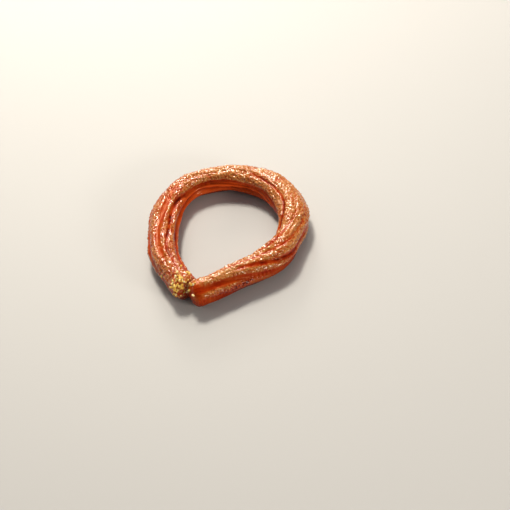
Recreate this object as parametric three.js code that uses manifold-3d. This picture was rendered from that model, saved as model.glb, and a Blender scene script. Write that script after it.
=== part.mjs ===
// A ring churro: one strand of dough, piped through a star nozzle, bent round into a teardrop
// ring with its two blunt ends pressed together, and fried. Millimetres, +Z up. It lies flat on
// z = 0, its joined ends point along -X and the far side of the ring along +X.
import * as THREE from 'three';
import { ParametricGeometry } from 'three/addons/geometries/ParametricGeometry.js';
import { mergeVertices } from 'three/addons/utils/BufferGeometryUtils.js';
import Module from 'manifold-3d';

// The strand's middle line seen from above, from the left end round to the right one:
// [x, y, width of the strand there].
const ROUTE = [
  [-45.2, -0.2, 15.6],
  [-38.5, 9.5, 15.2],
  [-25, 23.5, 17],
  [1.5, 35, 18.6],
  [18, 35.6, 16.8],
  [31, 30, 15],
  [42.5, 9, 15.2],
  [41, -13, 18],
  [25, -32.2, 18.6],
  [8.5, -36.8, 16],
  [-7.5, -35.2, 18],
  [-29.5, -19.5, 15.2],
  [-48.5, -2.6, 15.6],
];
const USUAL_HEIGHT = 16.4; // the strand's height varies half as much as its width
const FLAT_DEPTH = 0.6; // how far the round underside is flattened where the ring rests
const END_ROUNDING = 6; // length over which each blunt end closes
const END_BLUNTNESS = 2.6; // 2 is a half round end, more is squarer

// The star nozzle's marks: ridges along the strand with narrow grooves between them.
const RIDGES = 8;
const POINTS_PER_RIDGE = 6;
const GROOVE_DEPTH = 0.19; // share of the strand's radius
const TOP_GROOVE_SHARE = 0.4; // blisters nearly close the grooves on top
// The ridges turn round the strand: evenly all the way, and more towards its right end.
const FIRST_RIDGE = THREE.MathUtils.degToRad(26);
const EVEN_TWIST = THREE.MathUtils.degToRad(105);
const LATE_TWIST = THREE.MathUtils.degToRad(75);
const LATE_FROM = 0.6; // share of the strand's length

// The dough swells unevenly as it fries.
const SWELL = 0.02; // share of the radius
const SWELLS_ALONG = 9;

const BODY_STEPS = 78; // stations along the strand
const CAP_STEPS = 7; // stations in each rounded end

const CRUST = new THREE.MeshStandardMaterial({
  name: 'crust',
  color: 0xb5592f,
  roughness: 0.35,
  metalness: 0,
});

const wasm = await Module();
wasm.setup();

// A point of this curve is a place on the middle line, with the strand's width there as its z.
const route = new THREE.CatmullRomCurve3(
  ROUTE.map((stop) => new THREE.Vector3(...stop)),
  false,
  'centripetal',
);
route.arcLengthDivisions = 1200;
const STRAND_LENGTH = route.getLength();
const MIDDLE_HEIGHT = USUAL_HEIGHT / 2 - FLAT_DEPTH;

// How much of its section the strand keeps near an end: 0 at the tip, 1 past the rounding.
function openness(share) {
  const toEnd = Math.min(share, 1 - share) * STRAND_LENGTH;
  const closed = 1 - Math.min(toEnd / END_ROUNDING, 1);
  return Math.pow(1 - Math.pow(closed, END_BLUNTNESS), 1 / END_BLUNTNESS);
}

// The turn of the ridges round the strand, at a share of its length.
function twistAt(share) {
  const late = THREE.MathUtils.smoothstep(share, LATE_FROM, 1);
  return FIRST_RIDGE + EVEN_TWIST * share + LATE_TWIST * late;
}

// The strand's radius as a share of its round one. The angle runs from the ring's outer side
// over the top, and the ridge angle turns with the ridges.
function relief(share, angle, ridgeAngle) {
  const crest = Math.abs(Math.cos((ridgeAngle * RIDGES) / 2));
  const onTop = Math.max(Math.sin(angle), 0);
  const depth = GROOVE_DEPTH * THREE.MathUtils.lerp(1, TOP_GROOVE_SHARE, onTop * onTop);
  const swell = SWELL * Math.sin(share * SWELLS_ALONG * 2 * Math.PI + 2 * Math.sin(angle));
  return 1 - depth * Math.pow(1 - crest, 1.5) + swell;
}

// Sets target to a point of the skin, from its share of the strand's length and its ridge angle.
// A fullness of 0 is the middle line itself.
function skinPoint(share, ridgeAngle, fullness, target) {
  const place = route.getPointAt(share);
  const ahead = route.getTangentAt(share).setZ(0).normalize();
  const angle = ridgeAngle + twistAt(share);
  const width = place.z;
  const height = (width + USUAL_HEIGHT) / 2;
  const kept = openness(share) * relief(share, angle, ridgeAngle) * fullness;
  const outward = (width / 2) * kept * Math.cos(angle);
  const up = (height / 2) * kept * Math.sin(angle);
  target.set(
    place.x - ahead.y * outward,
    place.y + ahead.x * outward,
    Math.max(MIDDLE_HEIGHT + up, 0),
  );
}

// A closed solid of manifold-3d from a geometry whose triangles may shrink to nothing at a tip.
function solidOf(geometry) {
  geometry.deleteAttribute('normal');
  geometry.deleteAttribute('uv');
  const merged = mergeVertices(geometry, 1e-4);
  const corners = merged.index.array;
  const triangles = [];
  for (let i = 0; i < corners.length; i += 3) {
    const [a, b, c] = corners.slice(i, i + 3);
    if (a !== b && b !== c && c !== a) {
      triangles.push(a, b, c);
    }
  }
  const mesh = new wasm.Mesh({
    numProp: 3,
    vertProperties: Float32Array.from(merged.attributes.position.array),
    triVerts: Uint32Array.from(triangles),
  });
  return new wasm.Manifold(mesh);
}

// Half of the strand, closed by a flat cut at the middle of its length. Its stations crowd
// towards the rounded end, where the section changes fast.
function halfStrand(isFirst) {
  const capShare = END_ROUNDING / STRAND_LENGTH;
  const bodySteps = BODY_STEPS / 2;
  const steps = CAP_STEPS + bodySteps + 1;
  const surface = new ParametricGeometry(
    (u, v, target) => {
      const step = u * steps;
      const inCap = 1 - Math.cos((Math.min(step / CAP_STEPS, 1) * Math.PI) / 2);
      const inBody = THREE.MathUtils.clamp((step - CAP_STEPS) / bodySteps, 0, 1);
      const share = capShare * inCap + (0.5 - capShare) * inBody;
      const fullness = THREE.MathUtils.clamp(steps - step, 0, 1);
      const round = isFirst ? 1 - v : v;
      skinPoint(isFirst ? share : 1 - share, round * 2 * Math.PI, fullness, target);
    },
    steps,
    RIDGES * POINTS_PER_RIDGE,
  );
  return solidOf(surface);
}

function geometryOf(solid) {
  const mesh = solid.getMesh();
  const geometry = new THREE.BufferGeometry();
  geometry.setAttribute('position', new THREE.BufferAttribute(mesh.vertProperties, 3));
  geometry.setIndex(new THREE.BufferAttribute(mesh.triVerts, 1));
  geometry.computeVertexNormals();
  return geometry;
}

const strand = halfStrand(true).add(halfStrand(false));
const churro = new THREE.Mesh(geometryOf(strand), CRUST);
churro.name = 'churro';

const object = new THREE.Group();
object.add(churro);
export default object;
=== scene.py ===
# A syrup-glazed ring churro, dusted with ground pistachio where its ends are pressed together.
# Blender 4.5, metres, +Z up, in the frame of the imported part.
import math
import random

import bmesh
import bpy
import numpy as np
from mathutils import Matrix, Vector, noise
from mathutils.bvhtree import BVHTree


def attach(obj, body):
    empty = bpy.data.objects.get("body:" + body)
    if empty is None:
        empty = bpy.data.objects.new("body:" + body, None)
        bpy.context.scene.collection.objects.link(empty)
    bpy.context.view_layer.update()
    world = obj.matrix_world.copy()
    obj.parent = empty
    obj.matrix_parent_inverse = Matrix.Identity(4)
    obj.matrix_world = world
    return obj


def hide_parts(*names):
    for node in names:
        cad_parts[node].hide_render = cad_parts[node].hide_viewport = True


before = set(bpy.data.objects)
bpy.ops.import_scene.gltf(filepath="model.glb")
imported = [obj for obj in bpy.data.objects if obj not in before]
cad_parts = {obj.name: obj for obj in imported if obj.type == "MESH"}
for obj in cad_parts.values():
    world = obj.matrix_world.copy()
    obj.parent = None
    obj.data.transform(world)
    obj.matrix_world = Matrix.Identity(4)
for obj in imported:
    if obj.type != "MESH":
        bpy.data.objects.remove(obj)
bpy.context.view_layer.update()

# ---------------------------------------------------------------------------------------------
# The strand: soft dough piped through a star nozzle straight into hot oil, bent round into a
# teardrop ring and pressed together at its blunt ends. Frying sets its ridges and blisters its
# upper side, and the finished ring is soaked in syrup.
# ---------------------------------------------------------------------------------------------
MM = 0.001

# The middle line seen from above, from the left end round to the right one, in millimetres:
# (x, y, width of the strand there).
ROUTE = [
    (-45.2, -0.2, 15.6),
    (-38.5, 9.5, 15.2),
    (-25, 23.5, 17),
    (1.5, 35, 18.6),
    (18, 35.6, 16.8),
    (31, 30, 15),
    (42.5, 9, 15.2),
    (41, -13, 18),
    (25, -32.2, 18.6),
    (8.5, -36.8, 16),
    (-7.5, -35.2, 18),
    (-29.5, -19.5, 15.2),
    (-48.5, -2.6, 15.6),
]
STEPS_PER_STOP = 80
USUAL_HEIGHT = 16.4  # mm; the strand's height varies half as much as its width
FLAT_DEPTH = 0.6  # mm the round underside is flattened by where it rests
MIDDLE_HEIGHT = USUAL_HEIGHT / 2 - FLAT_DEPTH
END_ROUNDING = 6.0  # mm over which each blunt end closes
END_BLUNTNESS = 2.6

RIDGES = 8
FIRST_RIDGE = math.radians(26)
EVEN_TWIST = math.radians(105)
LATE_TWIST = math.radians(75)
LATE_FROM = 0.6  # share of the length
SWELL = 0.02  # of the radius; the dough comes out in slight pulses
SWELLS = 9
SWELL_LAG = 2  # radians between the strand's middle height and its top

# The grooves between the ridges: how many ridges round the strand from the first groove, then
# stops of (share of the length, shift in degrees from even spacing, depth in mm, half width in
# degrees). Where blisters close a groove it is shallow; where the dough was pulled it is wide.
# On the inside of the first bend the ridges are squeezed into narrow ones.
FIRST_GROOVE = math.radians(22.5 - 5 * 45)
GROOVES = [
    (0, [(0, 0, 1.3, 16), (0.1, 0, 1.7, 13), (0.5, 0, 1.7, 13), (0.78, 0, 1.4, 16), (0.88, -4, 1.1, 16),
         (1, -4, 0.9, 16)]),
    (1, [(0, 0, 1.4, 15), (0.1, 0, 1.7, 13), (0.75, 0, 1.5, 14), (0.84, 8, 1.4, 18), (0.93, 13, 1.5, 21),
         (1, 16, 1.3, 21)]),
    (2, [(0, 0, 1.4, 15), (0.1, 0, 1.7, 13), (0.62, 0, 1.6, 12), (0.76, 2, 1.0, 12), (0.86, 8, 0.8, 12),
         (0.91, 10, 0.3, 10), (1, 10, 0.1, 12)]),
    (3, [(0, 0, 1.5, 15), (0.1, 0, 1.7, 13), (0.5, 0, 1.4, 12), (0.62, 4, 0.4, 8), (0.74, 2, 0.5, 7),
         (0.8, 0, 0.7, 9), (0.9, 0, 0.5, 11), (1, 0, 0.8, 13)]),
    (4, [(0, 0, 1.0, 15), (0.2, 0, 1.2, 15), (0.36, 0, 0.4, 12), (0.5, 0, 0.15, 9), (0.62, 3, 0.2, 7),
         (0.72, -3, 0.6, 9), (0.82, 0, 1.2, 13), (1, 0, 1.0, 14)]),
    (5, [(0, 14, 0.1, 16), (0.09, 14, 0.5, 15), (0.14, 14, 1.2, 15), (0.26, 14, 1.0, 14),
         (0.35, 8, 0.3, 12), (0.46, 4, 0.2, 5), (0.52, 3, 0.7, 5), (0.68, 0, 0.8, 8), (0.76, 0, 1.5, 14),
         (1, 0, 1.3, 15)]),
    (6, [(0, 0, 0.2, 10), (0.08, 2, 0.7, 7), (0.19, 4, 0.9, 8), (0.23, 6, 1.9, 11), (0.32, 14, 1.8, 11),
         (0.42, 15, 1.7, 11), (0.52, 10, 1.4, 12), (1, 0, 1.4, 15)]),
    (6.5, [(0, 0, 0, 6), (0.26, 0, 0, 6), (0.34, 0, 1.0, 6), (0.6, 0, 1.0, 6), (0.66, 0, 0, 6),
           (1, 0, 0, 6)]),
    (7, [(0, 0, 1.0, 14), (0.25, 3, 1.7, 12), (0.6, 0, 1.7, 12), (1, 0, 1.4, 15)]),
]
GROOVE_WANDER = math.radians(4)
WANDER_RATE = 41  # radians along the whole strand
WANDER_LAG = 2.1  # radians from one groove to the next
TROUGH_POWER = 1.7  # above 1 the groove's bottom is round
# Painted shade: from this depth down, a groove's crust colour is darkened in full.
DEEP_GROOVE = 0.9  # mm from which the skin down a groove is as dark as it gets
CREASE_WIDTHS = (10, 15)  # degrees of half width between a tight crease and an open groove
CREASE_DEPTHS = (0.2, 1.0)  # mm
ENDS_SMOOTHED = 9.0  # mm from each end over which the grooves fade out


def smoothstep(value, low, high):
    """0 below low, 1 above high, smooth between; works on numbers and on arrays."""
    t = np.clip((value - low) / (high - low), 0, 1)
    return t * t * (3 - 2 * t)


def lerp(start, end, share):
    return start + (end - start) * share


def centripetal_stretch(before, start, end, after, t):
    """A point between start and end on the centripetal Catmull-Rom curve through all four."""
    lead, span, tail = (math.sqrt((b - a).length) for a, b in
                        ((before, start), (start, end), (end, after)))
    out = ((start - before) / lead - (end - before) / (lead + span) + (end - start) / span) * span
    into = ((end - start) / span - (after - start) / (span + tail) + (after - end) / tail) * span
    rise = end - start
    return start + out * t + (3 * rise - 2 * out - into) * t**2 + (out + into - 2 * rise) * t**3


def trace_route():
    """The middle line as evenly stepped points (x, y, width), their shares of it, its length."""
    stops = [Vector(stop) for stop in ROUTE]
    stops = [2 * stops[0] - stops[1]] + stops + [2 * stops[-1] - stops[-2]]
    points = []
    for four in zip(stops, stops[1:], stops[2:], stops[3:]):
        points += [centripetal_stretch(*four, step / STEPS_PER_STOP)
                   for step in range(STEPS_PER_STOP)]
    points.append(stops[-2])
    points = np.array(points)
    lengths = np.linalg.norm(np.diff(points, axis=0), axis=1)
    along = np.concatenate([[0], np.cumsum(lengths)])
    return points, along / along[-1], along[-1]


route_points, route_shares, STRAND_LENGTH = trace_route()


def on_route(share):
    """Places, forward directions and widths at shares of the strand's length, in millimetres."""
    look_ahead = 0.002
    place, ahead, behind = (
        np.stack([np.interp(at, route_shares, route_points[:, axis]) for axis in range(3)], -1)
        for at in (share, np.minimum(share + look_ahead, 1), np.maximum(share - look_ahead, 0))
    )
    forward = (ahead - behind)[..., :2]
    forward /= np.linalg.norm(forward, axis=-1, keepdims=True)
    return place[..., :2], forward, place[..., 2]


def openness(share):
    """How much of its section the strand keeps near an end: 0 at the tip, 1 past the rounding."""
    to_end = np.minimum(share, 1 - share) * STRAND_LENGTH
    closed = 1 - np.clip(to_end / END_ROUNDING, 0, 1)
    return (1 - closed**END_BLUNTNESS) ** (1 / END_BLUNTNESS)


def twist_at(share):
    return FIRST_RIDGE + EVEN_TWIST * share + LATE_TWIST * smoothstep(share, LATE_FROM, 1)


def groove_at(share, angle):
    """How deep the skin lies in grooves in mm, then 0 to 1 for any groove and for a tight one."""
    deep = np.zeros(np.shape(angle))
    inside = np.zeros(np.shape(angle))
    creased = np.zeros(np.shape(angle))
    for number, stops in GROOVES:
        shares, shift, depth, half_width = (np.array(column) for column in zip(*stops))
        line = twist_at(share) + FIRST_GROOVE + number * 2 * math.pi / RIDGES
        line = line + np.radians(np.interp(share, shares, shift))
        line = line + GROOVE_WANDER * np.sin(share * WANDER_RATE + number * WANDER_LAG)
        off = np.abs((angle - line + math.pi) % (2 * math.pi) - math.pi)
        wide = np.interp(share, shares, half_width)
        trough = np.exp(-((off / np.radians(wide)) ** TROUGH_POWER))
        deepest = np.interp(share, shares, depth)
        deep = deep + deepest * trough
        inside = np.maximum(inside, trough * smoothstep(deepest, 0, DEEP_GROOVE))
        tight = (1 - smoothstep(wide, *CREASE_WIDTHS)) * smoothstep(deepest, *CREASE_DEPTHS)
        creased = np.maximum(creased, trough**2 * tight)
    return deep, inside, creased


def relief_at(share, angle):
    """The strand's radius as a share of its round one; the angle runs from outside over the top."""
    to_end = np.minimum(share, 1 - share) * STRAND_LENGTH
    deep = groove_at(share, angle)[0] * smoothstep(to_end, 0, ENDS_SMOOTHED)
    swell = SWELL * np.sin(share * SWELLS * 2 * np.pi + SWELL_LAG * np.sin(angle))
    return 1 - deep / (USUAL_HEIGHT / 2) + swell


def skin_points(share, angle):
    """Points of the piped skin, in metres."""
    place, forward, width = on_route(share)
    height = (width + USUAL_HEIGHT) / 2
    kept = openness(share) * relief_at(share, angle)
    outward = width / 2 * kept * np.cos(angle)
    up = height / 2 * kept * np.sin(angle)
    x = place[..., 0] - forward[..., 1] * outward
    y = place[..., 1] + forward[..., 0] * outward
    z = np.maximum(MIDDLE_HEIGHT + up, 0)
    return np.stack([x, y, z], -1) * MM


BODY_STEPS = 360
CAP_STEPS = 14
POINTS_PER_RIDGE = 12
MERGE_DISTANCE = 0.01 * MM


def strand_shares():
    """Shares of the length for the sections: even along the body, crowded in the round ends."""
    cap = END_ROUNDING / STRAND_LENGTH
    rounding = cap * (1 - np.cos(np.linspace(0, math.pi / 2, CAP_STEPS, endpoint=False)))
    body = np.linspace(cap, 1 - cap, BODY_STEPS)
    return np.concatenate([rounding, body, 1 - rounding[::-1]])


def pipe_strand():
    """The strand as one tube, extruded section by section; its pressed ends pass into each other."""
    around = RIDGES * POINTS_PER_RIDGE
    tube = bmesh.new()
    bmesh.ops.create_circle(tube, cap_ends=False, radius=MM, segments=around)
    index = tube.verts.layers.int.new("index")
    for number, corner in enumerate(tube.verts):
        corner[index] = number
    section = list(tube.verts)
    edges = list(tube.edges)
    turns = np.arange(around) * 2 * math.pi / around
    for number, share in enumerate(strand_shares()):
        if number:
            grown = bmesh.ops.extrude_edge_only(tube, edges=edges)["geom"]
            section = [item for item in grown if isinstance(item, bmesh.types.BMVert)]
            rim = set(section)
            edges = [item for item in grown
                     if isinstance(item, bmesh.types.BMEdge) and rim.issuperset(item.verts)]
        skin = skin_points(np.full(around, share), turns + twist_at(share))
        for corner in section:
            corner.co = skin[corner[index]]
    bmesh.ops.remove_doubles(tube, verts=tube.verts, dist=MERGE_DISTANCE)
    bmesh.ops.recalc_face_normals(tube, faces=tube.faces)
    mesh = bpy.data.meshes.new("churro_strand")
    tube.to_mesh(mesh)
    tube.free()
    return mesh


FUSING_VOXEL = 0.44 * MM


def fuse(mesh):
    """One closed skin in even faces, so that the pressed ends become one piece of dough."""
    piece = bpy.data.objects.new("churro_strand", mesh)
    bpy.context.scene.collection.objects.link(piece)
    remesh = piece.modifiers.new("fuse", "REMESH")
    remesh.mode = "VOXEL"
    remesh.voxel_size = FUSING_VOXEL
    bpy.context.view_layer.update()
    fused = bpy.data.meshes.new_from_object(piece.evaluated_get(
        bpy.context.evaluated_depsgraph_get()))
    piece.modifiers.clear()
    piece.data = fused
    return piece


STATIONS = 1001
CORNER_BATCHES = 60


def read_strand(mesh):
    """Each corner's share of the length, angle round the strand and place along the ridges, mm."""
    corners = np.empty(len(mesh.vertices) * 3)
    mesh.vertices.foreach_get("co", corners)
    corners = corners.reshape(-1, 3) / MM
    stations = np.linspace(0, 1, STATIONS)
    place, forward, width = on_route(stations)
    nearest = np.concatenate([
        ((part[:, None, :2] - place[None]) ** 2).sum(-1).argmin(1)
        for part in np.array_split(corners, CORNER_BATCHES)
    ])
    away = corners[:, :2] - place[nearest]
    ahead = forward[nearest]
    outward = away[:, 1] * ahead[:, 0] - away[:, 0] * ahead[:, 1]
    beyond = (away * ahead).sum(1)
    up = corners[:, 2] - MIDDLE_HEIGHT
    height = (width[nearest] + USUAL_HEIGHT) / 2
    angle = np.arctan2(up / height, outward / width[nearest])
    share = stations[nearest]
    turned = angle - twist_at(share)
    far = np.hypot(outward, up)
    ridge_place = np.stack([share * STRAND_LENGTH + beyond, far * np.cos(turned),
                            far * np.sin(turned)], 1)
    return corners, share, angle, ridge_place


NOISE_SHIFT = (7.3, 3.1, 5.7)  # per seed, so that each noise differs
BUBBLE_SHIFT = (4.7, 9.1, 2.3)
BUBBLE_REACH = 0.75  # of the spacing of the bubbles


def noise_at(points, size, seed):
    """Smooth noise about -1 to 1 with lumps of that size, in the units of the points."""
    shift = Vector(seed * step for step in NOISE_SHIFT)
    return np.array([noise.noise(Vector(point) / size + shift) for point in points.tolist()])


def blisters_at(points, size, seed):
    """Round bubbles: 1 at a bubble's top, 0 between bubbles."""
    shift = Vector(seed * step for step in BUBBLE_SHIFT)
    near = [noise.voronoi(Vector(point) / size + shift)[0][0] for point in points.tolist()]
    return 1 - np.clip(np.array(near) / BUBBLE_REACH, 0, 1) ** 2


# Folds across the strand, where the soft dough was bent before it set:
# (share of the length, angle at the start and the end, drift along in mm, depth and width in mm).
FOLDS = [
    (0.095, 52, 100, 4, 0.45, 0.9),
    (0.13, 60, 95, 3, 0.3, 0.8),
    (0.285, 55, 112, -6, 0.55, 0.9),
    (0.31, 50, 90, -5, 0.3, 0.8),
    (0.475, 55, 120, 4, 0.35, 1.0),
    (0.60, 80, 125, 5, 0.35, 0.8),
    (0.70, 40, 110, 6, 0.45, 1.1),
    (0.79, 60, 130, -4, 0.45, 1.0),
]
FOLD_WAVE = (0.8, 7)  # mm to each side, radians from a fold's start to its end
FOLD_LIP = 0.9  # how sharply the skin rises beside a fold
FOLD_FADES_IN = (-0.15, 0.2)  # of the way from its start to its end
FOLD_FADES_OUT = (0.8, 1.15)


def folds_at(ridge_place, angle):
    """How deep the skin sinks in the folds, in millimetres; it rises a little beside them."""
    sunk = np.zeros(len(angle))
    degrees = np.degrees(angle) % 360
    for share, start, end, drift, depth, width in FOLDS:
        across = (degrees - start) / (end - start)
        line = share * STRAND_LENGTH + drift * (across - 0.5)
        line = line + FOLD_WAVE[0] * np.sin(across * FOLD_WAVE[1])
        fade = smoothstep(across, *FOLD_FADES_IN) * (1 - smoothstep(across, *FOLD_FADES_OUT))
        off = ((ridge_place[:, 0] - line) / width) ** 2
        sunk += depth * fade * (1 - FOLD_LIP * off) * np.exp(-off)
    return sunk


RIPPLES_OVER = (0.78, 0.83)  # shares of the length over which the fine ripples begin
RIPPLE_PITCH = 2.1  # mm
RIPPLE_HEIGHT = 0.2  # mm
RIPPLED_RIDGE = (6, 14)  # degrees round the strand, and to each side
RIPPLE_WANDER = 3  # radians per unit of the skin's patchy noise
RIPPLE_SLANT = 4  # radians per radian round the strand


def ripples_at(ridge_place, share, angle, patchy):
    """Fine ripples across the outer ridge of the late part of the strand, in millimetres."""
    middle, spread = RIPPLED_RIDGE
    outer = np.exp(-(((np.degrees(angle) - middle) / spread) ** 2))
    along = ridge_place[:, 0] * 2 * math.pi / RIPPLE_PITCH
    wave = np.sin(along + RIPPLE_WANDER * patchy + RIPPLE_SLANT * angle)
    return RIPPLE_HEIGHT * wave * outer * smoothstep(share, *RIPPLES_OVER)


# Where the skin is rough with blisters, in degrees round the strand from straight outwards over
# the top: early on it covers the outside and the top, in the front part only the top and one
# outer ridge. Pairs are (early, late) or (from, to).
FRONT_PART = (0.66, 0.80)  # shares of the length
ROUGH_STARTS = (-95, 5)
ROUGH_BY = (-25, 40)
PAST_FIRST_BEND = (0.16, 0.26)  # shares of the length
ROUGH_FADES_FROM = (165, 146)
ROUGH_FADES_BY = (195, 170)
OUTER_RIDGE = (8, 15)  # degrees round the strand, and to each side
OUTER_RIDGE_OVER = (0.75, 0.82)  # shares of the length
OUTER_RIDGE_ROUGHNESS = 1.1
PATCHES_OF_SKIN = (7, 1)  # size in mm, seed
PATCH_STRENGTH = 0.3
SMOOTH_IN_GROOVES = (0.3, 0.8)
SMOOTH_RIGHT_END = (3, 9)  # mm from the tip


def rough_skin(share, degrees, inside, patchy):
    """0 to 1 for blistered skin, and for the outer ridge of the front part."""
    front = smoothstep(share, *FRONT_PART)
    upper = smoothstep(degrees, lerp(*ROUGH_STARTS, front), lerp(*ROUGH_BY, front))
    late = smoothstep(share, *PAST_FIRST_BEND)
    fades = smoothstep(degrees, lerp(*ROUGH_FADES_FROM, late), lerp(*ROUGH_FADES_BY, late))
    upper = upper * (1 - fades)
    middle, spread = OUTER_RIDGE
    outer_ridge = np.exp(-(((degrees - middle) / spread) ** 2)) * smoothstep(share, *OUTER_RIDGE_OVER)
    rough = np.clip(upper + OUTER_RIDGE_ROUGHNESS * outer_ridge + PATCH_STRENGTH * patchy, 0, 1)
    rough = rough * (1 - smoothstep(inside, *SMOOTH_IN_GROOVES))
    return rough * smoothstep((1 - share) * STRAND_LENGTH, *SMOOTH_RIGHT_END), outer_ridge


# The skin is paler tan along the far side's top and on the front part's top, partly its own tan
# and partly painted glare; on the front the outer ridge is redder instead. One wet groove of the
# left branch gets a painted highlight, and the far side's smooth inner wall a painted red glow.
# Pairs of degrees are from and to, or a middle and how far it reaches each way.
FAR_SIDE = (0.30, 0.45)  # shares of the length
FRONT_TOP = (0.76, 0.88)  # shares of the length
FAR_SIDE_TAN_AND_GLARE = 1.4
FRONT_TAN_AND_GLARE = 2.2
OUTER_RIDGE_REDDER = 2.8
WET_GROOVE = (84, 12)  # degrees
WET_GROOVE_ENDS = (0.26, 0.34)  # shares of the length
WET_GROOVE_PAINTED_HIGHLIGHT = 1.2
INNER_WALL = (135, 160)  # degrees
INNER_WALL_BEGINS = (0.18, 0.28)  # shares of the length
INNER_WALL_ENDS = (0.55, 0.65)
INNER_GROOVES_LESS_GLOW = 0.8


def tan_and_painted_glare(share, degrees, inside, rough, outer_ridge):
    """How much paler tan the skin gets, partly painted glare; from 0 for plain brown, below 0 redder."""
    late = smoothstep(share, *FRONT_TOP)
    tan_and_glare = FAR_SIDE_TAN_AND_GLARE * smoothstep(share, *FAR_SIDE) * (1 - late) * rough
    middle, spread = WET_GROOVE
    wet_groove = np.exp(-(((degrees - middle) / spread) ** 2))
    wet_groove = wet_groove * (1 - smoothstep(share, *WET_GROOVE_ENDS))
    tan_and_glare += WET_GROOVE_PAINTED_HIGHLIGHT * wet_groove * inside
    tan_and_glare += FRONT_TAN_AND_GLARE * late * rough * (1 - OUTER_RIDGE_REDDER * outer_ridge)
    return tan_and_glare


def painted_glow_on_inner_wall(share, degrees, inside, rough):
    """0 to 1 for the painted red glow on the smooth inner wall of the far side."""
    inner = smoothstep(degrees, *INNER_WALL) * (1 - rough) * (1 - INNER_GROOVES_LESS_GLOW * inside)
    return inner * smoothstep(share, *INNER_WALL_BEGINS) * (1 - smoothstep(share, *INNER_WALL_ENDS))


# Lumps of the fried skin: (height in mm, size in mm, seed); long ones run with the ridges, and
# their sizes are given as scales along and across.
LUMPS = [(0.26, 3.4, 2), (0.14, 1.6, 3)]
LONG_LUMPS = [(0.30, (0.16, 0.62, 0.62), 6), (0.26, (0.13, 1.0, 1.0), 8)]
LUMPS_ON_SMOOTH = 0.2
LUMPS_ON_ROUGH = 0.85  # more
GRAIN_HEIGHT = 0.40  # mm
GRAIN = (0.85, 5)  # size in mm, seed
BUBBLE_HEIGHT = 0.4  # mm
BUBBLES = (1.3, 4)  # spacing in mm, seed
PEAK_MIDDLE = 0.2  # mm of bubble and grain; PEAK_SPAN from the bottom of a pit to a peak
PEAK_SPAN = 0.6
BRIDGED = 0.6  # mm that blisters fill up of a tight crease where they break it
BRIDGES = (4.5, 7)  # spacing in mm, seed
BRIDGE_EDGES = (-0.25, 0.15)
ROOM_FOR_BLISTERS = 0.25  # mm the skin is drawn in, except underneath, before it blisters
ROOM_EDGES = (-0.9, 0)  # of the way up from the middle line; -1 is straight down


def store(mesh, name, values, kind="FLOAT"):
    attribute = mesh.attributes.new(name, kind, "POINT")
    attribute.data.foreach_set("vector" if kind == "FLOAT_VECTOR" else "value", values.ravel())


def fry(piece):
    """Raises blisters and folds on the fused skin and stores what the crust's colour follows."""
    mesh = piece.data
    corners, share, angle, ridge_place = read_strand(mesh)
    normals = np.empty(len(mesh.vertices) * 3)
    mesh.vertex_normals.foreach_get("vector", normals)
    normals = normals.reshape(-1, 3)
    degrees = (np.degrees(angle) + 90) % 360 - 90
    _deep, inside, creased = groove_at(share, angle)
    patchy = noise_at(corners, *PATCHES_OF_SKIN)
    rough, outer_ridge = rough_skin(share, degrees, inside, patchy)

    lumps = sum(height * noise_at(corners, size, seed) for height, size, seed in LUMPS)
    for height, scales, seed in LONG_LUMPS:
        lumps += height * noise_at(ridge_place * scales, 1, seed)
    grain = GRAIN_HEIGHT * noise_at(corners, *GRAIN)
    bubbles = BUBBLE_HEIGHT * blisters_at(corners, *BUBBLES)
    broken = smoothstep(noise_at(corners, *BRIDGES), *BRIDGE_EDGES)
    raised = (LUMPS_ON_SMOOTH + LUMPS_ON_ROUGH * rough) * lumps + rough * (bubbles + grain)
    raised += BRIDGED * creased * (1 - broken)
    raised += ripples_at(ridge_place, share, angle, patchy) - folds_at(ridge_place, angle)
    raised -= ROOM_FOR_BLISTERS * smoothstep(np.sin(angle), *ROOM_EDGES)
    corners += normals * raised[:, None]
    corners[:, 2] = np.maximum(corners[:, 2], 0)
    mesh.vertices.foreach_set("co", (corners * MM).ravel())
    mesh.update()

    # Painted shade: the crust is darkened down the grooves and in the creases that blisters leave open.
    store(mesh, "groove_shade", inside)
    store(mesh, "crease_shade", creased * broken)
    # Paler tan, partly the skin's own and partly painted glare, with a painted highlight in one wet
    # groove.
    store(mesh, "tan_and_glare", tan_and_painted_glare(share, degrees, inside, rough, outer_ridge))
    # Painted glow: where the inner wall is painted a bright red-orange.
    store(mesh, "inner", painted_glow_on_inner_wall(share, degrees, inside, rough))
    # Painted light and shade: lighter on the peaks of bubble and grain, darker in the pits between.
    store(mesh, "lit_peak_shaded_pit", np.clip(0.5 + (bubbles + grain - PEAK_MIDDLE) / PEAK_SPAN, 0, 1))
    store(mesh, "rough", rough)
    store(mesh, "ridge_place", ridge_place, "FLOAT_VECTOR")
    for face in mesh.polygons:
        face.use_smooth = True


strand = fuse(pipe_strand())
fry(strand)


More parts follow.
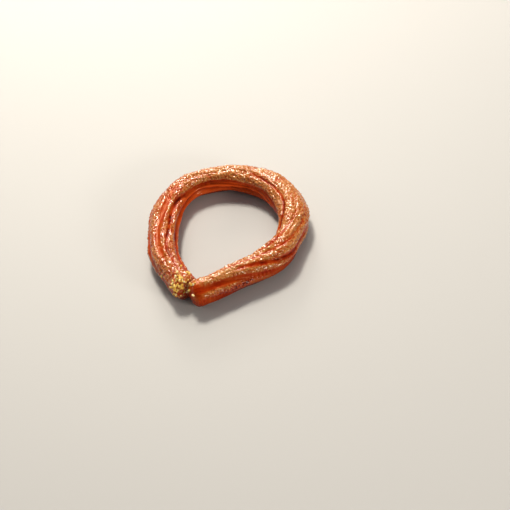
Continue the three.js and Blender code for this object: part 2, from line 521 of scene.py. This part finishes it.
class Nodes:
    """A material's node tree, with short calls to add and join nodes."""

    def __init__(self, name):
        self.material = bpy.data.materials.new(name)
        self.material.use_nodes = True
        self.tree = self.material.node_tree
        self.shader = self.tree.nodes["Principled BSDF"]

    def feed(self, socket, value):
        if isinstance(value, bpy.types.NodeSocket):
            self.tree.links.new(value, socket)
        else:
            socket.default_value = value

    def add(self, kind, inputs=None, **settings):
        node = self.tree.nodes.new(kind)
        for key, value in settings.items():
            setattr(node, key, value)
        for key, value in (inputs or {}).items():
            self.feed(node.inputs[key], value)
        return node

    def set(self, name, value):
        """Gives the shader's own input of that name a constant or joins a socket to it."""
        self.feed(self.shader.inputs[name], value)

    def stored(self, name, output="Fac"):
        return self.add("ShaderNodeAttribute", attribute_name=name).outputs[output]

    def object_place(self):
        return self.add("ShaderNodeTexCoord").outputs["Object"]

    def stretched(self, place, scales):
        return self.add("ShaderNodeMapping", {"Vector": place, "Scale": scales}).outputs["Vector"]

    def noise(self, place, scale, detail, roughness):
        return self.add("ShaderNodeTexNoise", {
            "Vector": place, "Scale": scale, "Detail": detail, "Roughness": roughness,
        }).outputs["Fac"]

    def rise(self, value, edges, most=1.0, **settings):
        """0 at the first edge and most at the second."""
        return self.add("ShaderNodeMapRange", {
            "Value": value, "From Min": edges[0], "From Max": edges[1], "To Max": most,
        }, **settings).outputs["Result"]

    def maths(self, operation, first, second=0.0, third=0.0):
        node = self.add("ShaderNodeMath", operation=operation)
        for socket, value in zip(node.inputs, (first, second, third)):
            self.feed(socket, value)
        return node.outputs[0]

    def add_scaled(self, total, value, scale):
        return self.maths("MULTIPLY_ADD", value, scale, total)

    def about(self, value, middle):
        return self.maths("SUBTRACT", value, middle)

    def blend(self, share, first, second):
        """Sockets 0, 6 and 7 of a Mix node are its share and its two colours; 2 is the blend."""
        node = self.add("ShaderNodeMix", data_type="RGBA")
        for number, value in ((0, share), (6, first), (7, second)):
            self.feed(node.inputs[number], value)
        return node.outputs[2]

    def ramp(self, value, stops):
        node = self.add("ShaderNodeValToRGB", {"Fac": value})
        elements = node.color_ramp.elements
        elements[0].position, elements[0].color = stops[0]
        elements[1].position, elements[1].color = stops[-1]
        for position, colour in stops[1:-1]:
            elements.new(position).color = colour
        return node.outputs["Color"]

    def bump(self, height, strength, distance):
        node = self.add("ShaderNodeBump", {
            "Height": height, "Strength": strength, "Distance": distance,
        })
        self.set("Normal", node.outputs["Normal"])


# The crust's colours, from painted shade at the bottom of a crease to the palest blister, partly painted
# glare.
CRUST_COLOURS = [
    (0.0, (0.10, 0.005, 0.001, 1)),
    (0.22, (0.32, 0.018, 0.0015, 1)),
    (0.45, (0.44, 0.048, 0.004, 1)),
    (0.75, (0.44, 0.114, 0.017, 1)),
    (1.0, (0.58, 0.24, 0.065, 1)),
]
USUAL_LIGHTNESS = 0.48
# Blistered skin is paler, partly its own tan and partly painted glare; grooves and creases get painted
# shade.
LIGHTENED_BY = {"rough": 0.24, "tan_and_glare": 0.11, "groove_shade": -0.16, "crease_shade": -0.32}
PAINTED_PEAK_LIGHT_PIT_SHADE = 0.55
STREAKS_LIGHTER = 0.55
PATCHES_LIGHTER = 0.7
PAINTED_GLINTS_ON_FLECKS = 0.38

# Noises as (scale, detail, roughness). Streaks and flecks follow the ridges: they are scaled per
# millimetre after a stretch along and across them. The others are scaled per metre.
STREAKS = (1.1, 4.0, 0.6)
STREAK_STRETCH = (0.09, 1, 1)
FLECKS = (1.25, 2.0, 0.6)
FLECK_STRETCH = (1.3, 0.8, 0.8)
FLECK_EDGES = (0.46, 0.57)
FLECK_MIDDLE = 0.4
PATCHES = (140.0, 3.0, 0.6)
FINE_GRAIN = (900.0, 3.0, 0.7)
FINE_BUBBLE_SCALE = 800.0

# The inner wall gets a painted red-orange glow in place of light through its syrup; near where
# it rests the skin gets painted shade, darkest at the bottom.
INNER_WALL_PAINTED_GLOW = (0.95, 0.13, 0.015, 1)
INNER_WALL_GLOW_SHARE = 0.9
PAINTED_BASE_SHADE = (0.10, 0.008, 0.0015, 1)
PAINTED_BASE_SHADE_SHARE = 0.9
PAINTED_BASE_SHADE_HEIGHTS = (8 * MM, 1 * MM)  # from none to most

SKIN_ROUGHNESS = 0.22
BLISTERS_GLOSSIER = -0.05
SYRUP_ROUGHNESS = 0.06
SYRUP_ON_SMOOTH = 0.03
SYRUP_ON_BLISTERS = 0.5
SYRUP_ON_FLECKS = 0.8  # more
GLARE_LEVEL = 0.18
GLARE_TINT = (1, 0.58, 0.22, 1)

BUMP_DISTANCE = 0.5 * MM
BUMP_OF_BUBBLES = -0.5
BUMP_OF_GRAIN = 0.6
BUMP_OF_STREAKS = 0.35
BUMP_ON_SMOOTH = 0.2


def glazed_crust():
    """Fried dough under syrup: paler and blistered on the ridges, partly painted glare; deep and glassy
    elsewhere, with painted shade.
    """
    crust = Nodes("glazed_crust")
    rough = crust.stored("rough")
    ridge_place = crust.stored("ridge_place", "Vector")
    place = crust.object_place()
    streaks = crust.noise(crust.stretched(ridge_place, STREAK_STRETCH), *STREAKS)
    fine = crust.noise(crust.stretched(ridge_place, FLECK_STRETCH), *FLECKS)
    flecks = crust.rise(fine, FLECK_EDGES, interpolation_type="SMOOTHSTEP")
    patches = crust.noise(place, *PATCHES)

    lightness = USUAL_LIGHTNESS
    for name, change in LIGHTENED_BY.items():
        lightness = crust.add_scaled(lightness, crust.stored(name), change)
    # Painted light and shade: peaks of the blistered skin are lighter, its pits darker.
    painted_peaks_and_pits = crust.maths("MULTIPLY", crust.about(crust.stored("lit_peak_shaded_pit"), 0.5), rough)
    lightness = crust.add_scaled(lightness, painted_peaks_and_pits, PAINTED_PEAK_LIGHT_PIT_SHADE)
    lightness = crust.add_scaled(lightness, crust.about(streaks, 0.5), STREAKS_LIGHTER)
    lightness = crust.add_scaled(lightness, crust.about(patches, 0.5), PATCHES_LIGHTER)
    # Painted glints: the blistered skin is lighter on the flecks, where the syrup coat is also thicker.
    painted_glints = crust.maths("MULTIPLY", crust.about(flecks, FLECK_MIDDLE), rough)
    lightness = crust.add_scaled(lightness, painted_glints, PAINTED_GLINTS_ON_FLECKS)

    # Painted glow: the inner wall is blended towards a bright red-orange.
    glow_share = crust.maths("MULTIPLY", crust.stored("inner"), INNER_WALL_GLOW_SHARE)
    crust_with_painted_glow = crust.blend(glow_share, crust.ramp(lightness, CRUST_COLOURS), INNER_WALL_PAINTED_GLOW)
    # Painted shade: near the floor the crust is blended towards a dark brown.
    height = crust.add("ShaderNodeSeparateXYZ", {"Vector": place}).outputs["Z"]
    low = crust.rise(height, PAINTED_BASE_SHADE_HEIGHTS, PAINTED_BASE_SHADE_SHARE)
    crust.set("Base Color", crust.blend(low, crust_with_painted_glow, PAINTED_BASE_SHADE))

    crust.set("Roughness", crust.add_scaled(SKIN_ROUGHNESS, rough, BLISTERS_GLOSSIER))
    wet = crust.maths("MULTIPLY", crust.add_scaled(SYRUP_ON_BLISTERS, flecks, SYRUP_ON_FLECKS), rough)
    crust.set("Coat Weight", crust.maths("ADD", wet, SYRUP_ON_SMOOTH))
    crust.set("Coat Roughness", SYRUP_ROUGHNESS)
    crust.set("Specular IOR Level", GLARE_LEVEL)
    crust.set("Specular Tint", GLARE_TINT)

    bubbles = crust.add("ShaderNodeTexVoronoi", {
        "Vector": place, "Scale": FINE_BUBBLE_SCALE, "Randomness": 1.0,
    }).outputs["Distance"]
    relief = crust.maths("MULTIPLY", bubbles, BUMP_OF_BUBBLES)
    relief = crust.add_scaled(relief, crust.noise(place, *FINE_GRAIN), BUMP_OF_GRAIN)
    relief = crust.maths("MULTIPLY", relief, crust.maths("ADD", rough, BUMP_ON_SMOOTH))
    relief = crust.add_scaled(relief, streaks, BUMP_OF_STREAKS)
    crust.bump(relief, 1.0, BUMP_DISTANCE)
    return crust.material


strand.data.materials.clear()
strand.data.materials.append(glazed_crust())
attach(strand, "root")
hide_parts("churro")

# ---------------------------------------------------------------------------------------------
# The pistachio crumbs: kernels ground to coarse crumbs, yellow-green with a few paler and
# browner bits, dropped where the strand's ends meet; the tacky syrup holds each by its underside.
# ---------------------------------------------------------------------------------------------
# Where they lie: (share of the length, angle in degrees, spreads along in mm and round in
# degrees, how many).
CRUMB_DRIFTS = [
    (0.010, 42, 1.8, 19, 42),
    (0.018, 75, 2.0, 16, 18),
    (0.993, 95, 1.6, 22, 12),
    (0.060, 75, 8.0, 40, 6),
]
DROP_FROM = 30 * MM  # above the strand's middle line
LOWEST_CRUMB = 2 * MM
CRUMB_SEED = 5
CRUMB_SIZES = (1.0 * MM, 2.1 * MM)
CRUMB_WIDTHS = (0.6, 0.9)  # of its size
CRUMB_THICKNESSES = (0.5, 0.8)  # of its size
CRUMB_TURNS = (0, 6.28)  # radians
CRUMB_RISE = 0.2  # of its size, from the skin to the crumb's middle
CRUMB_JITTER = 0.09  # of its size


def crumb_spots(chance):
    """Places on the skin in metres with the skin's outward direction there."""
    skin = BVHTree.FromObject(strand, bpy.context.evaluated_depsgraph_get())
    spots = []
    for share, angle, along, round_it, count in CRUMB_DRIFTS:
        for _ in range(count):
            at = share + chance.gauss(0, along) / STRAND_LENGTH
            turn = math.radians(angle + chance.gauss(0, round_it))
            on_strand = min(max(at, 0.0), 1.0)
            place, forward, _width = on_route(np.array(on_strand))
            middle = Vector((*place, MIDDLE_HEIGHT)) * MM
            out = Vector((-forward[1] * math.cos(turn), forward[0] * math.cos(turn), math.sin(turn)))
            past_tip = (at - on_strand) * STRAND_LENGTH * MM
            outside = middle + out * DROP_FROM + Vector((*forward, 0)) * past_tip
            hit, normal, _face, _far = skin.ray_cast(outside, -out)
            if hit and hit.z > LOWEST_CRUMB:
                spots.append((hit, normal))
    return spots


def drop_crumbs():
    """One joined mesh of small jittered lumps, each with its own tone."""
    chance = random.Random(CRUMB_SEED)
    lumps = bmesh.new()
    tone = lumps.verts.layers.float.new("tone")
    for spot, out in crumb_spots(chance):
        size = chance.uniform(*CRUMB_SIZES)
        turn_x = Matrix.Rotation(chance.uniform(*CRUMB_TURNS), 4, "X")
        turn_z = Matrix.Rotation(chance.uniform(*CRUMB_TURNS), 4, "Z")
        width = chance.uniform(*CRUMB_WIDTHS)
        thickness = chance.uniform(*CRUMB_THICKNESSES)
        shape = Matrix.Diagonal((1, width, thickness, 1))
        seat = Matrix.Translation(spot + out * size * CRUMB_RISE)
        lump = bmesh.ops.create_icosphere(lumps, subdivisions=1, radius=size / 2,
                                          matrix=seat @ turn_x @ turn_z @ shape)["verts"]
        shade = chance.random()
        for corner in lump:
            corner[tone] = shade
            corner.co += Vector(chance.uniform(-1, 1) for _ in range(3)) * size * CRUMB_JITTER
    bmesh.ops.recalc_face_normals(lumps, faces=lumps.faces)
    mesh = bpy.data.meshes.new("pistachio_crumbs")
    lumps.to_mesh(mesh)
    lumps.free()
    piece = bpy.data.objects.new("pistachio_crumbs", mesh)
    bpy.context.scene.collection.objects.link(piece)
    return piece


NUT_COLOURS = [
    (0.0, (0.75, 0.36, 0.03, 1)),
    (0.2, (1.0, 0.62, 0.09, 1)),
    (0.7, (1.0, 0.76, 0.20, 1)),
    (1.0, (1.0, 0.90, 0.55, 1)),
]
MOTTLE = (2500.0, 2.0, 0.5)  # scale per metre, detail, roughness
MOTTLE_STRENGTH = 0.5
NUT_ROUGHNESS = 0.55
NUT_BUMP = (0.3, 0.2 * MM)  # strength, distance


def ground_pistachio():
    """Matt yellow-green nut with paler and browner crumbs among it."""
    nut = Nodes("ground_pistachio")
    mottle = nut.noise(nut.object_place(), *MOTTLE)
    shade = nut.add_scaled(nut.stored("tone"), nut.about(mottle, 0.5), MOTTLE_STRENGTH)
    nut.set("Base Color", nut.ramp(shade, NUT_COLOURS))
    nut.set("Roughness", NUT_ROUGHNESS)
    nut.bump(mottle, *NUT_BUMP)
    return nut.material


crumbs = drop_crumbs()
crumbs.data.materials.append(ground_pistachio())
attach(crumbs, "root")

# ---------------------------------------------------------------------------------------------
# The floor: a wide matt board painted pale grey, which the churro lies on. It reaches past all
# that the camera sees.
# ---------------------------------------------------------------------------------------------
FLOOR_REACH = 3  # metres from its middle to each edge
FLOOR_GREY = (0.55, 0.56, 0.57, 1)
FLOOR_ROUGHNESS = 0.7


def lay_floor():
    sheet = bmesh.new()
    bmesh.ops.create_grid(sheet, x_segments=1, y_segments=1, size=FLOOR_REACH)
    mesh = bpy.data.meshes.new("floor")
    sheet.to_mesh(mesh)
    sheet.free()
    paint = Nodes("pale_floor")
    paint.set("Base Color", FLOOR_GREY)
    paint.set("Roughness", FLOOR_ROUGHNESS)
    mesh.materials.append(paint.material)
    floor = bpy.data.objects.new("floor", mesh)
    bpy.context.scene.collection.objects.link(floor)


lay_floor()

# ---------------------------------------------------------------------------------------------
# The lights: warm cloth-fronted softboxes, all turned to the churro. A wide one and a small
# bright key hang behind it as the camera looks; smaller ones fill from low behind, from the left
# and from the right front, and the room itself is dim.
# ---------------------------------------------------------------------------------------------
# Name, place and size in metres, watts, colour.
SOFTBOXES = [
    ("wide_softbox", (0.60, 0.33, 0.74), (0.8, 0.6), 4.4, (1, 0.91, 0.80)),
    ("key_softbox", (0.48, 0.33, 0.82), (0.18, 0.18), 8.8, (1, 0.91, 0.77)),
    ("right_softbox", (0.80, 0.46, 0.38), (0.25, 0.2), 3.2, (1, 0.91, 0.78)),
    ("left_softbox", (-0.25, 0.90, 0.30), (0.25, 0.2), 1.0, (1, 0.86, 0.68)),
    ("front_softbox", (-0.28, -0.95, 0.32), (0.3, 0.15), 4.5, (1, 0.90, 0.78)),
]
ROOM_COLOUR = (1, 0.97, 0.93, 1)
ROOM_STRENGTH = 0.17


def facing(place, target, roll=0.0):
    """A matrix at place that looks at target, turned about the line of sight."""
    sight = (Vector(target) - Vector(place)).to_track_quat("-Z", "Y").to_matrix().to_4x4()
    return Matrix.Translation(place) @ sight @ Matrix.Rotation(roll, 4, "Z")


def hang_softbox(name, place, size, power, colour):
    lamp = bpy.data.lights.new(name, "AREA")
    lamp.shape = "RECTANGLE"
    lamp.size, lamp.size_y = size
    lamp.energy = power
    lamp.color = colour
    softbox = bpy.data.objects.new(name, lamp)
    softbox.matrix_world = facing(place, (0, 0, 0))
    bpy.context.scene.collection.objects.link(softbox)


def light_room():
    world = bpy.data.worlds.new("studio")
    world.use_nodes = True
    background = world.node_tree.nodes["Background"]
    background.inputs["Color"].default_value = ROOM_COLOUR
    background.inputs["Strength"].default_value = ROOM_STRENGTH
    bpy.context.scene.world = world


for softbox_values in SOFTBOXES:
    hang_softbox(*softbox_values)
light_room()

# ---------------------------------------------------------------------------------------------
# The camera: a full-frame body with a long lens, above the ring's joined ends, looking down on
# it at about 46 degrees and tilted a little to one side.
# ---------------------------------------------------------------------------------------------
CAMERA_AZIMUTH = math.radians(-61.65)
CAMERA_ELEVATION = math.radians(46.25)
CAMERA_ROLL = math.radians(-8.34)
CAMERA_DISTANCE = 0.7408  # metres
CAMERA_AIM = (-0.0038, -0.0205, 0)
LENS = 95.4  # mm
SENSOR_WIDTH = 36  # mm
CLIP_START = 0.05  # metres


def set_camera():
    level = math.cos(CAMERA_ELEVATION)
    back = Vector((math.sin(CAMERA_AZIMUTH) * level, -math.cos(CAMERA_AZIMUTH) * level,
                   math.sin(CAMERA_ELEVATION)))
    aim = Vector(CAMERA_AIM)
    lens = bpy.data.cameras.new("camera")
    lens.lens = LENS
    lens.sensor_width = SENSOR_WIDTH
    lens.clip_start = CLIP_START
    camera = bpy.data.objects.new("camera", lens)
    camera.matrix_world = facing(aim + back * CAMERA_DISTANCE, aim, CAMERA_ROLL)
    bpy.context.scene.collection.objects.link(camera)
    bpy.context.scene.camera = camera


set_camera()
bpy.context.scene.view_settings.view_transform = "Standard"
